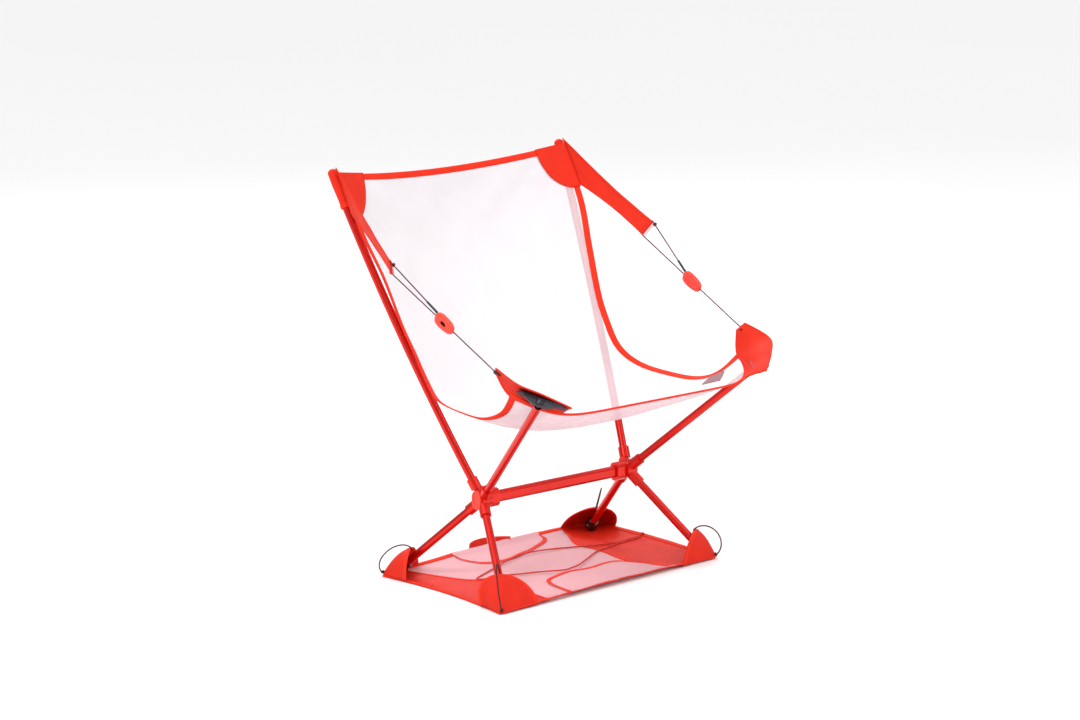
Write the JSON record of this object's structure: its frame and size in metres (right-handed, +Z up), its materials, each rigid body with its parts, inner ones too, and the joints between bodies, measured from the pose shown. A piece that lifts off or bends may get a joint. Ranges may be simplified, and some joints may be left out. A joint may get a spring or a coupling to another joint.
{
  "type": "backpacking chair",
  "caption": "Low ultralight camping chair: bent pole frame with a crossbar, hanging mesh sling seat, cord-adjusted recline and a mesh footprint under the feet.",
  "frame": {"origin": "middle of the object's box in X and Y, on the ground", "axes": "+Z up, the seat's front faces -Y, the sitter's left is +X"},
  "size_m": [0.5854, 0.5394, 0.6582],
  "materials": {
    "anodised_tube": "red anodised aluminium tube, satin gloss",
    "anodised_hub": "red anodised machined aluminium, satin gloss",
    "coral_plastic": "coral red moulded nylon, satin",
    "bare_steel": "plain steel pin",
    "bare_aluminium": "plain aluminium tube",
    "navy_plastic": "dark navy moulded nylon, semi-matt",
    "black_plastic": "glossy black moulded plastic",
    "shock_cord": "braided elastic cord",
    "sling_mesh": "light open monofilament mesh, pale grey inside and pink outside",
    "footprint_mesh": "light open mesh, pink",
    "red_fabric": "tightly woven red ripstop fabric",
    "red_binding": "folded red grosgrain binding tape",
    "red_cord": "thin braided red cord",
    "dark_cord": "thin braided dark red-brown cord",
    "tag_fabric": "woven grey-mauve label tape, plain"
  },
  "bodies": {
    "root": {"crossbar": "anodised_tube", "hub_body_right": "anodised_hub", "hub_body_left": "anodised_hub", "hub_caps": "coral_plastic", "pivot_pins": "bare_steel", "seat_pole_right": "anodised_tube", "seat_pole_left": "anodised_tube", "seat_ball_tips": "black_plastic", "corner_plate_right": "navy_plastic", "corner_plate_left": "navy_plastic", "front_leg_right": "anodised_tube", "front_leg_left": "anodised_tube", "rear_leg_right": "anodised_tube", "rear_leg_left": "anodised_tube", "front_feet": "black_plastic", "rear_feet": "black_plastic", "base_shock_cords": "shock_cord", "sling_bend": "sling_mesh", "sling_seat": "sling_mesh", "side_binding_bend": "red_binding", "side_binding_seat": "red_binding", "front_hem": "red_binding", "seat_corner_right": "red_fabric", "seat_corner_left": "red_fabric", "side_tag": "tag_fabric", "lower_cords": "dark_cord", "footprint_mesh": "footprint_mesh", "footprint_panel_right": "red_fabric", "footprint_panel_left": "red_fabric", "footprint_binding": "red_binding", "front_wing": "footprint_mesh", "rear_wing": "footprint_mesh", "carry_handle": "red_binding", "drawcord": "red_cord", "toe_pocket_front_right": "red_fabric", "toe_pocket_front_left": "red_fabric", "toe_pocket_rear_right": "red_fabric", "toe_pocket_rear_left": "red_fabric", "elastic_loops": "dark_cord"},
    "back": {"back_knuckle_right": "anodised_hub", "back_knuckle_left": "anodised_hub", "back_pole_lower_right": "anodised_tube", "back_pole_lower_left": "anodised_tube", "back_pole_upper_right": "anodised_tube", "back_pole_upper_left": "anodised_tube", "back_ferrules": "bare_aluminium", "back_tip_caps": "anodised_hub", "back_shock_cords": "shock_cord", "sling_back": "sling_mesh", "side_binding_back": "red_binding", "top_binding": "red_binding", "back_corner_right": "red_fabric", "back_corner_left": "red_fabric", "arm_strap_right": "red_fabric", "arm_strap_left": "red_fabric", "upper_cords": "dark_cord"},
    "adjuster_right": {"adjuster_right": "coral_plastic", "cord_sleeve_right": "navy_plastic"},
    "adjuster_left": {"adjuster_left": "coral_plastic", "cord_sleeve_left": "navy_plastic"}
  },
  "joints": [
    {"name": "recline", "type": "hinge", "parent": "root", "child": "back", "pos_m": [0, -0.00348, 0.1406], "axis": [-1, 0, 0], "range_deg": [-9.5, 2.4], "deforming": ["sling_bend", "side_binding_bend", "upper_cords", "lower_cords"]},
    {"name": "adjuster_slide_right", "type": "slide", "parent": "root", "child": "adjuster_right", "axis": [-0.019, 0.927, 0.3746], "range_m": [-0.0962, 0.0245]},
    {"name": "adjuster_slide_left", "type": "slide", "parent": "root", "child": "adjuster_left", "axis": [0.019, 0.927, 0.3746], "range_m": [-0.0962, 0.0245]}
  ],
  "couplings": [
    {"joint": "adjuster_slide_right", "follows": "recline", "m_per_rad": 0.5766},
    {"joint": "adjuster_slide_left", "follows": "recline", "m_per_rad": 0.5766}
  ]
}
